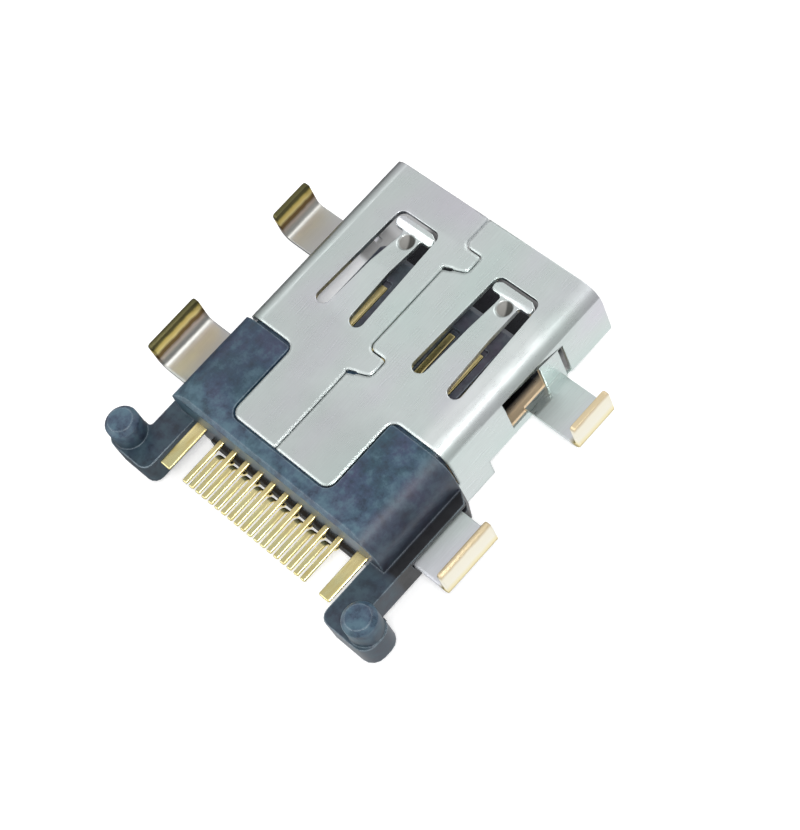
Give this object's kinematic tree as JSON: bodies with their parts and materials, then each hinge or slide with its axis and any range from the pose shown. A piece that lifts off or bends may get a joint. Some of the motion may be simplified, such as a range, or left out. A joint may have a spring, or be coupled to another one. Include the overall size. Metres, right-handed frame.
{
  "type": "charging port connector",
  "caption": "Shielded multi-way charging port connector for a board cut-out, with a folded metal shell, solder wings that turn up into legs, locating posts and a comb of tails.",
  "frame": {"origin": "middle of the flat underside, below the middle of the overall box", "axes": "+Z towards the board side, the way the locating posts and legs point; -Y out of the mouth; +X to the right when looking along +Y into the mouth with the board side up"},
  "size_m": [0.022, 0.021, 0.0052],
  "materials": {
    "shell": "satin nickel plate",
    "housing": "moulded, slightly mottled",
    "tongue": "moulded",
    "contact": "thin gold plate"
  },
  "bodies": {
    "root": {"shell": "shell", "housing": "housing", "tongue": "tongue", "ground_strip_left": "contact", "ground_strip_right": "contact", "contact_upper_1": "contact", "contact_upper_2": "contact", "contact_upper_3": "contact", "contact_upper_4": "contact", "contact_upper_5": "contact", "contact_upper_6": "contact", "contact_upper_7": "contact", "contact_upper_8": "contact", "contact_upper_9": "contact", "contact_upper_10": "contact", "contact_lower_1": "contact", "contact_lower_2": "contact", "contact_lower_3": "contact", "contact_lower_4": "contact", "contact_lower_5": "contact", "contact_lower_6": "contact", "contact_lower_7": "contact", "contact_lower_8": "contact", "contact_lower_9": "contact"}
  },
  "joints": []
}
